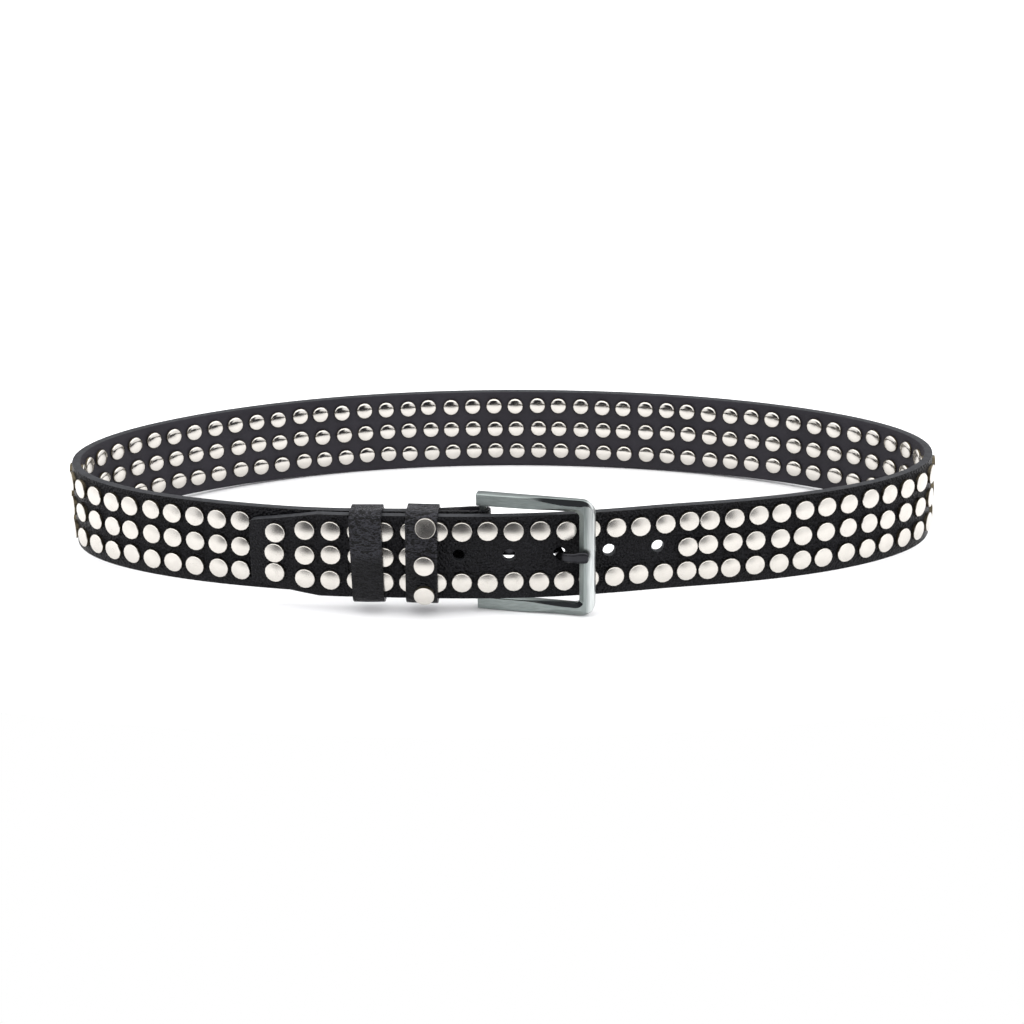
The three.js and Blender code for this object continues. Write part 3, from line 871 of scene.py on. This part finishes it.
def merged(*parts):
    """Several bmeshes as one."""
    whole = parts[0]
    for part in parts[1:]:
        mesh = to_mesh("part", part)
        whole.from_mesh(mesh)
        bpy.data.meshes.remove(mesh)
    return whole


class BELT_OT_strap(bpy.types.Operator):
    """Make the strap's leather, with its holes, its clipped tip and its fold"""
    bl_idname = "belt.strap"
    bl_label = "Strap"

    def execute(self, context):
        sizes, colours = settings(context)
        seam = STUDDED_KEEPER_REACH
        bm = merged(strap_layer(sizes, seam), strap_fold(sizes, seam - CLEARANCE))
        finishes = [strap_leather(colours), strap_lining(colours), cut_edge(colours)]
        add_piece("strap_leather_body", bm, finishes, ["strap"])
        return {"FINISHED"}


# Studs


def flat_profile(sizes, diameter, sink):
    """Half a cap's section: a faintly domed face, a narrow bevel and an upright wall."""
    radius = diameter / 2
    face = radius - sizes.stud_rim
    shoulder = CAP_HEIGHT - sizes.stud_dome
    return [
        (0.0, CAP_HEIGHT),
        (0.6 * face, CAP_HEIGHT - 0.36 * sizes.stud_dome),
        (face, shoulder),
        (radius, shoulder - sizes.stud_rim),
        (radius, -sink),
    ]


def round_profile(sizes):
    """Half an inner cap's section: a dome that rounds over into its wall."""
    radius = sizes.inner_diameter / 2
    return [
        (0.0, CAP_HEIGHT),
        (0.45 * radius, CAP_HEIGHT - 0.00012),
        (0.84 * radius, CAP_HEIGHT - 0.00044),
        (radius, CAP_HEIGHT - 0.00086),
        (radius, -0.0003),
    ]


def cap_mesh(profile, sides):
    """A stud's cap, turned about Z. Its wall takes the second material."""
    bm = bmesh.new()
    verts = [bm.verts.new((across, 0, up)) for across, up in profile]
    edges = [bm.edges.new(pair) for pair in zip(verts, verts[1:])]
    spin_round(bm, verts + edges, sides)
    bmesh.ops.holes_fill(bm, edges=[edge for edge in bm.edges if edge.is_boundary], sides=0)
    bmesh.ops.recalc_face_normals(bm, faces=bm.faces)
    for face in bm.faces:
        face.material_index = 1 if abs(face.normal.z) < 0.3 else 0
    return to_mesh("cap", bm)


def facing_frame(origin, outward, up):
    """A frame whose Z looks outwards and whose Y points up."""
    z = outward.normalized()
    x = up.cross(z).normalized()
    y = z.cross(x)
    turn = Matrix((x, y, z)).transposed().to_4x4()
    return Matrix.Translation(origin) @ turn


def stud_places(sizes, side, seed):
    """A frame for each hand-set stud on the outer (1) or inner (-1) face."""
    draw = random.Random(seed)
    for column in stud_columns():
        for row in range(column.rows):
            step = row - (column.rows - 1) / 2
            skew = -sizes.row_skew * step * column.pitch / (2 * ROW_PITCH)
            at = column.at + skew + draw.uniform(-1, 1) * sizes.stud_wander
            up = STRAP_MIDDLE + ROW_RAISE + step * column.pitch + max(step, 0.0) * 2 * column.rise
            up += draw.uniform(-1, 1) * sizes.stud_wander
            outward = level(strap_facing(at)) * side
            origin = level(strap_point(at), up) + outward * HALF_THICKNESS
            lean = Matrix.Rotation(draw.uniform(-1, 1) * sizes.stud_tilt, 4, "X")
            turn = Matrix.Rotation(draw.uniform(-1, 1) * sizes.stud_tilt, 4, "Y")
            spin = Matrix.Rotation(draw.uniform(0, math.tau), 4, "Z")
            yield facing_frame(origin, outward, Vector((0, 0, 1))) @ lean @ turn @ spin


def stud_field(sizes, profile, side, seed):
    cap = cap_mesh(profile, sides=16)
    bm = bmesh.new()
    for place in stud_places(sizes, side, seed):
        copy = cap.copy()
        copy.transform(BELT @ place)
        bm.from_mesh(copy)
        bpy.data.meshes.remove(copy)
    bpy.data.meshes.remove(cap)
    return bm


def stud_finishes(colours, name="stud nickel", roughness=0.22):
    """The studs' face and wall."""
    face, wall = (bpy.data.materials.get(known) for known in (name, "stud wall"))
    return [face or stud_nickel(colours, name, roughness), wall or stud_wall(colours)]


class BELT_OT_studs(bpy.types.Operator):
    """Make the nickel studs on both faces of the strap"""
    bl_idname = "belt.studs"
    bl_label = "Studs"

    def execute(self, context):
        sizes, colours = settings(context)
        finishes = stud_finishes(colours)
        outer = stud_field(sizes, flat_profile(sizes, sizes.stud_diameter, 0.0003), 1, seed=11)
        add_piece("outer_studs", outer, finishes, ["strap"], math.radians(30))
        polished = stud_finishes(colours, "inner nickel", 0.1)
        inner = stud_field(sizes, round_profile(sizes), -1, seed=23)
        add_piece("inner_studs", inner, polished, sharp=math.radians(60))
        return {"FINISHED"}


# Keepers


def layers_depth(reach):
    """How far the inner layer's inner face lies behind the outer layer's mid-line."""
    return sway_at(LOOP_LENGTH + reach) - sway_at(reach) + half_at(reach)


def keeper_frame(reach, lean):
    """The keeper's own frame: x outwards, y along the strap, z up, on the mid-line."""
    distance = LOOP_LENGTH + reach
    outward = strap_facing(distance)
    turn = Matrix.Rotation(math.atan2(outward.y, outward.x), 4, "Z")
    middle = Matrix.Translation(level(strap_point(distance)))
    return BELT @ middle @ turn @ Matrix.Rotation(lean, 4, "X")


def keeper_outline(reach, cell=0.0016, corner_steps=6):
    """Points and outward directions round the inside of a keeper."""
    half = KEEPER_WIDTH / 2
    depth = max(layers_depth(reach + step) for step in (-half, 0, half))
    front, back = KEEPER_FRONT_RADIUS - KEEPER_WALL, KEEPER_BACK_RADIUS - KEEPER_WALL
    right = HALF_THICKNESS + CAP_HEIGHT + CLEARANCE
    left = -depth - KEEPER_EASE
    bottom, top = -KEEPER_EASE, STRAP_WIDTH + KEEPER_EASE
    corners = [
        (Vector((right - front, 0, bottom + front)), front),
        (Vector((right - front, 0, top - front)), front),
        (Vector((left + back, 0, top - back)), back),
        (Vector((left + back, 0, bottom + back)), back),
    ]
    outline = []
    for i, (centre, radius) in enumerate(corners):
        for step in range(corner_steps + 1):
            angle = math.pi / 2 * (i - 1 + step / corner_steps)
            facing = Vector((math.cos(angle), 0, math.sin(angle)))
            outline.append((centre + facing * radius, facing))
        start, facing = outline[-1]
        next_centre, next_radius = corners[(i + 1) % 4]
        end = next_centre + facing * next_radius
        count = round((end - start).length / cell)
        outline += [(start.lerp(end, k / count), facing) for k in range(1, count)]
    return outline


def keeper_band(sizes, reach, lean):
    outline = keeper_outline(reach)
    outline.append(outline[0])
    half = KEEPER_WIDTH / 2
    last = len(outline) - 1
    bm = sheet(list(range(len(outline))), filled([-half, half], 0.0016))
    thicken(bm, KEEPER_WALL)
    ends = [face for face in bm.faces if abs(face.normal.x) > 0.9]
    bmesh.ops.delete(bm, geom=ends, context="FACES")
    round_off(bm, sharp_edges(bm), sizes.keeper_round)
    to_world = keeper_frame(reach, lean)

    def place(flat):
        point, facing = outline[min(round(flat.x), last)]
        crown = sizes.keeper_crown * (1 - (flat.y / half) ** 2) * max(facing.x, 0.0)
        out = flat.z + KEEPER_WALL / 2 + crown
        return to_world @ (point + Vector((0, flat.y, 0)) + facing * out)

    for vert in bm.verts:
        vert.co = place(vert.co)
    bmesh.ops.remove_doubles(bm, verts=bm.verts, dist=0.00001)
    bmesh.ops.recalc_face_normals(bm, faces=bm.faces)
    return bm


class BELT_OT_keepers(bpy.types.Operator):
    """Make the plain keeper and the studded keeper"""
    bl_idname = "belt.keepers"
    bl_label = "Keepers"

    def execute(self, context):
        sizes, colours = settings(context)
        leather = keeper_leather(colours)
        plain = keeper_band(sizes, PLAIN_KEEPER_REACH, PLAIN_KEEPER_LEAN)
        add_piece("plain_keeper_band", plain, [leather], ["keeper_plain"])
        studded = keeper_band(sizes, STUDDED_KEEPER_REACH, STUDDED_KEEPER_LEAN)
        add_piece("studded_keeper_band", studded, [leather], ["keeper_studded"])
        return {"FINISHED"}


class BELT_OT_keeper_rivets(bpy.types.Operator):
    """Make the three rivets of the studded keeper"""
    bl_idname = "belt.keeper_rivets"
    bl_label = "Keeper rivets"

    def execute(self, context):
        sizes, colours = settings(context)
        finishes = stud_finishes(colours)
        to_world = keeper_frame(STUDDED_KEEPER_REACH, STUDDED_KEEPER_LEAN)
        front = HALF_THICKNESS + CAP_HEIGHT + CLEARANCE + KEEPER_WALL
        for rivet in KEEPER_RIVETS:
            face = Vector((front, rivet.side * KEEPER_WIDTH, rivet.height * STRAP_WIDTH))
            look = Vector((math.cos(rivet.pitch), 0, math.sin(rivet.pitch)))
            lift = CLEARANCE + abs(look.z) * RIVET_DIAMETER / 2
            cap = cap_mesh(flat_profile(sizes, RIVET_DIAMETER, lift / 2), sides=36)
            cap.transform(to_world @ facing_frame(face + look * lift, look, Vector((0, 0, 1))))
            bm = bmesh.new()
            bm.from_mesh(cap)
            bpy.data.meshes.remove(cap)
            add_piece(rivet.name + "_cap", bm, finishes, [rivet.name],
                      math.radians(30))
        return {"FINISHED"}


# Buckle


FRAME_BACK = BUCKLE_THICKNESS / 2 - HEEL_BAR_SETBACK
FRAME_FRONT = FRAME_BACK - BUCKLE_THICKNESS


def back_taper(x):
    """How much thinner the frame is towards its round end."""
    return BUCKLE_TAPER * (x + HEEL_BAR_INSET) / BUCKLE_LENGTH


def buckle_lean():
    """The frame leans so that its end bar clears the studs under it."""
    caps = strap_point(LOOP_LENGTH - END_BAR_INNER, HALF_THICKNESS + CAP_HEIGHT + 2 * CLEARANCE)
    bar_back = FRAME_BACK - back_taper(END_BAR_INNER)
    return math.asin((HEEL_POINT.y + bar_back - caps.y) / END_BAR_INNER)


BUCKLE = BELT @ Matrix.Translation(level(HEEL_POINT, STRAP_MIDDLE + BUCKLE_RAISE))
LEAN = buckle_lean()


def facet_share(x, outside):
    """How wide a facet is, as a share of the widest: both grow from the arms' free ends."""
    grown = smooth((x - 0.018) / 0.022)
    if outside:
        return 0.15 + 0.75 * grown * (1 - smooth((x - END_BAR_INNER - 0.001) / 0.006))
    return 0.15 + 0.45 * grown + 0.2 * smooth((x - END_BAR_INNER) / 0.003 + 1)


def cut_facets(bm, sizes, inside):
    """Facets round the front face, which shrinks while its outline falls back.
    Those that look up take the second material, whose dark colour is a painted reflection."""
    face = min(bm.faces, key=lambda item: item.calc_center_median().y)
    bmesh.ops.inset_region(bm, faces=[face], thickness=sizes.facet_width, use_even_offset=True)
    for vert in face.verts:
        outer = next(edge.other_vert(vert) for edge in vert.link_edges if face not in edge.link_faces)
        outside = abs(outer.co.z) > inside + 1e-5 or outer.co.x > END_BAR_INNER + 1e-5
        share = facet_share(outer.co.x, outside)
        vert.co = outer.co.lerp(vert.co, share)
        outer.co.y += sizes.facet_depth * min(share / 0.5, 1.0)
    for ring in {near for edge in face.edges for near in edge.link_faces} - {face}:
        ring.normal_update()
        # facets that look up get the dark finish: painted reflection, chosen by the way each facet
        # faces
        ring.material_index = 1 if ring.normal.z > 0.15 else 0


def buckle_frame_mesh(sizes):
    left, right = -HEEL_BAR_INSET, BUCKLE_LENGTH - HEEL_BAR_INSET
    top = BUCKLE_HEIGHT / 2
    inside = top - ARM_WIDTH
    bm = bmesh.new()
    corners = [
        (left, top), (right, top), (right, -top), (left, -top),
        (left, -inside), (END_BAR_INNER, -inside), (END_BAR_INNER, inside), (left, inside),
    ]
    verts = [bm.verts.new((x, FRAME_FRONT, z)) for x, z in corners]
    bm.faces.new(verts)
    for pair, radius in (((1, 2), BUCKLE_CORNER), ((5, 6), BUCKLE_INNER_CORNER)):
        bmesh.ops.bevel(
            bm, geom=[verts[i] for i in pair], offset=radius, offset_type="OFFSET",
            segments=8, profile=0.5, affect="VERTICES", clamp_overlap=False, material=-1)
    arms = [edge for edge in bm.edges if abs(edge.verts[0].co.x - edge.verts[1].co.x) > 0.02]
    bmesh.ops.subdivide_edges(bm, edges=arms, cuts=15)
    made = bmesh.ops.extrude_face_region(bm, geom=bm.faces[:])
    pushed = [item for item in made["geom"] if isinstance(item, bmesh.types.BMVert)]
    for vert in pushed:
        vert.co.y = FRAME_BACK - back_taper(vert.co.x)
    bmesh.ops.recalc_face_normals(bm, faces=bm.faces)
    cut_facets(bm, sizes, inside)
    round_off(bm, sharp_edges(bm, math.radians(18)), sizes.buckle_edge)
    bar = bmesh.new()
    reach = inside + ARM_WIDTH / 2
    bmesh.ops.create_cone(
        bar, cap_ends=True, segments=28, radius1=HEEL_BAR / 2, radius2=HEEL_BAR / 2, depth=2 * reach)
    whole = merged(bm, bar)
    bmesh.ops.transform(whole, matrix=BUCKLE @ Matrix.Rotation(-LEAN, 4, "Z"), verts=whole.verts)
    return whole


class BELT_OT_buckle_frame(bpy.types.Operator):
    """Make the buckle's brushed frame with its heel bar"""
    bl_idname = "belt.buckle_frame"
    bl_label = "Buckle frame"

    def execute(self, context):
        sizes, colours = settings(context)
        bm = buckle_frame_mesh(sizes)
        finishes = [buckle_metal(colours), facet_metal(colours)]
        add_piece("buckle_frame_body", bm, finishes, ["buckle_frame"],
                  sharp=math.radians(28))
        return {"FINISHED"}


class Way:
    """A smooth way through a few points in plan, by distance from its start."""

    def __init__(self, points, steps=12):
        ends = [points[0] * 2 - points[1], *points, points[-1] * 2 - points[-2]]
        self.points = [points[0]]
        for a, b, c, d in zip(ends, ends[1:], ends[2:], ends[3:]):
            for i in range(1, steps + 1):
                t = i / steps
                self.points.append(0.5 * (
                    b * 2 + (c - a) * t + (a * 2 - b * 5 + c * 4 - d) * t**2
                    + (b * 3 - a - c * 3 + d) * t**3))
        self.lengths = [0.0]
        for before, after in zip(self.points, self.points[1:]):
            self.lengths.append(self.lengths[-1] + (after - before).length)
        self.length = self.lengths[-1]

    def at(self, distance):
        low = min(max(bisect_right(self.lengths, distance) - 1, 0), len(self.points) - 2)
        span = self.lengths[low + 1] - self.lengths[low]
        along = (self.points[low + 1] - self.points[low]).normalized()
        point = self.points[low].lerp(self.points[low + 1], (distance - self.lengths[low]) / span)
        return point, Vector((-along.y, along.x))


def prong_way():
    """The prong's middle in plan from the heel bar."""
    half = PRONG_THICKNESS / 2
    hole = strap_point(prong_holes()[BUCKLED_HOLE]) - HEEL_POINT
    behind = hole.y + HALF_THICKNESS + CLEARANCE + half
    front = FRAME_FRONT - CLEARANCE - half
    turn = Matrix.Rotation(-LEAN, 2)
    on_bar = turn @ Vector((END_BAR_INNER + CLEARANCE, front))
    tip = turn @ Vector((END_BAR_INNER + PRONG_REST, front))
    bends = [
        Vector((hole.x * (1 + bend.along), behind + (on_bar.y - behind) * bend.out))
        for bend in PRONG_BEND
    ]
    return Way([*bends, on_bar, tip])


def prong_mesh(sizes):
    way = prong_way()
    half = PRONG_WIDTH / 2
    marks = [0.0, *(way.length - back for back in (PRONG_END, 0.0012, 0.0004)), way.length]
    bm = sheet(filled(marks, 0.0009), filled([-half, half], 0.0007))
    thicken(bm, PRONG_THICKNESS)
    long_edges = [
        edge for edge in sharp_edges(bm)
        if abs(edge.verts[0].co.y - edge.verts[1].co.y) < 1e-7
        and abs(edge.verts[0].co.z - edge.verts[1].co.z) < 1e-7
    ]
    round_off(bm, long_edges, sizes.prong_round, segments=4)

    def place(flat):
        back = way.length - flat.x
        widen = smooth((PRONG_REST + 0.0016 - back) / 0.0022)
        behind = 1 - smooth(abs(back - PRONG_REST - HOLE_TO_END_BAR - 0.003) / 0.007)
        width = half + (PRONG_TIP_WIDTH / 2 - half) * max(widen, 1.6 * behind)
        narrow = math.sqrt(max(1 - (1 - min(back, PRONG_END) / PRONG_END) ** 2, 0.0))
        across = flat.y / half * width * (0.45 + 0.55 * narrow)
        point, normal = way.at(flat.x)
        thin = 1 - 0.25 * smooth((PRONG_REST - back) / PRONG_REST)
        plan = point + normal * (flat.z * thin)
        rise = PRONG_RISE * (1 - smooth(back / (PRONG_REST + HOLE_TO_END_BAR)))
        return BUCKLE @ level(plan, across + HOLE_RAISE - BUCKLE_RAISE + rise)

    carry(bm, place)
    ring = bmesh.new()
    bore = HEEL_BAR / 2 + CLEARANCE
    section = [
        (bore, -half), (bore + PRONG_RING_WALL, -half), (bore + PRONG_RING_WALL, half), (bore, half)]
    verts = [ring.verts.new((x, 0, z)) for x, z in section]
    edges = [ring.edges.new((verts[i], verts[(i + 1) % 4])) for i in range(4)]
    spin_round(ring, verts + edges, 28)
    bmesh.ops.recalc_face_normals(ring, faces=ring.faces)
    round_off(ring, sharp_edges(ring), 0.0004, segments=2)
    place_ring = BUCKLE @ Matrix.Translation((0, 0, HOLE_RAISE - BUCKLE_RAISE))
    bmesh.ops.transform(ring, matrix=place_ring, verts=ring.verts)
    return merged(bm, ring)


class BELT_OT_prong(bpy.types.Operator):
    """Make the prong, through the hole and onto the end bar"""
    bl_idname = "belt.prong"
    bl_label = "Prong"

    def execute(self, context):
        sizes, colours = settings(context)
        add_piece("prong_body", prong_mesh(sizes), [prong_metal(colours)], ["prong"])
        return {"FINISHED"}


# Stage


FLOOR_RADIUS = 0.9
FLOOR_MIDDLE = Vector((0, 0.70, 0))
CAMERA_PLACE = Vector((0.00434, -1.08464, 0.50928))
CAMERA_PITCH = math.radians(24.61)
CAMERA_ROLL = math.radians(-0.67)
CAMERA_LENS = 84.98


def add_floor(colours):
    made, paint = material("floor")
    grain = paint.noise(3.0, detail=2)
    shade = paint.blend(grain, colours.floor, times(colours.floor, 0.995))
    paint.surface(Base_Color=shade, Roughness=0.9, Specular_IOR_Level=0.0)
    bm = bmesh.new()
    bmesh.ops.create_circle(bm, cap_ends=True, segments=96, radius=FLOOR_RADIUS,
                            matrix=Matrix.Translation(FLOOR_MIDDLE))
    mesh = to_mesh("floor", bm)
    mesh.materials.append(made)
    floor = bpy.data.objects.new("floor", mesh)
    bpy.context.scene.collection.objects.link(floor)
    floor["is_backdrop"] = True


def light_world():
    """Soft light from overhead and both sides, dark towards the camera and dim behind."""
    world = bpy.data.worlds.new("studio")
    bpy.context.scene.world = world
    paint = Paint(world)
    direction = paint.node("TexCoord", output="Generated")
    parts = paint.node("SeparateXYZ", {}, {"Vector": direction}, output=None)
    x, y, z = (Socket(paint, parts.outputs[axis]) for axis in "XYZ")
    low = paint.blend(y.between(-0.1, 0.3), (0.012, 0.012, 0.014), (0.20, 0.20, 0.21))
    beside = (x + 0.1) * (x + 0.1)
    low = paint.blend(beside.between(0.08, 0.32), low, (0.60, 0.60, 0.61))
    shade = paint.blend(z.between(0.40, 0.70), low, (1.0, 1.0, 1.0))
    light = paint.node("Background", {}, {"Color": shade, "Strength": 2.4})
    white = paint.node("Background", {}, {"Color": opaque((1, 1, 1)), "Strength": 1.0})
    is_seen = paint.node("LightPath", output="Is Camera Ray")
    mixed = paint.node("MixShader", {}, {0: is_seen, 1: light, 2: white})
    paint.node("OutputWorld", {}, {"Surface": mixed}, output=None)


def add_camera():
    data = bpy.data.cameras.new("camera")
    data.lens = CAMERA_LENS
    data.clip_start, data.clip_end = 0.05, 60
    camera = bpy.data.objects.new("camera", data)
    tilt = Matrix.Rotation(math.pi / 2 - CAMERA_PITCH, 4, "X")
    roll = Matrix.Rotation(CAMERA_ROLL, 4, "Z")
    camera.matrix_world = Matrix.Translation(CAMERA_PLACE) @ tilt @ roll
    bpy.context.scene.collection.objects.link(camera)
    bpy.context.scene.camera = camera


class BELT_OT_stage(bpy.types.Operator):
    """Make the floor, the light and the camera"""
    bl_idname = "belt.stage"
    bl_label = "Stage"

    def execute(self, context):
        add_floor(context.scene.belt_colours)
        light_world()
        add_camera()
        context.scene.view_settings.view_transform = "Standard"
        return {"FINISHED"}


# Panel and registration

STEPS = (
    BELT_OT_strap,
    BELT_OT_studs,
    BELT_OT_keepers,
    BELT_OT_keeper_rivets,
    BELT_OT_buckle_frame,
    BELT_OT_prong,
    BELT_OT_stage,
)


class BELT_PT_panel(bpy.types.Panel):
    """Lists the belt's pieces, sizes and colours"""
    bl_idname = "BELT_PT_panel"
    bl_label = "Studded belt"
    bl_space_type = "VIEW_3D"
    bl_region_type = "UI"
    bl_category = "Belt"

    def draw(self, context):
        for step in STEPS:
            self.layout.operator(step.bl_idname)
        for group in settings(context):
            box = self.layout.box()
            for name in group.bl_rna.properties.keys():
                if name not in ("rna_type", "name"):
                    box.prop(group, name)


CLASSES = (BeltSizes, BeltColours, *STEPS, BELT_PT_panel)


def register():
    for item in CLASSES:
        bpy.utils.register_class(item)
    bpy.types.Scene.belt_sizes = PointerProperty(type=BeltSizes)
    bpy.types.Scene.belt_colours = PointerProperty(type=BeltColours)


def unregister():
    del bpy.types.Scene.belt_colours
    del bpy.types.Scene.belt_sizes
    for item in reversed(CLASSES):
        bpy.utils.unregister_class(item)


def write_size():
    corners = [[list(corner) for corner in box] for box in (CAD_BOX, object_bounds())]


def main():
    register()
    for step in STEPS:
        group, name = step.bl_idname.split(".")
        getattr(getattr(bpy.ops, group), name)()
    write_size()


if __name__ == "__main__":
    main()
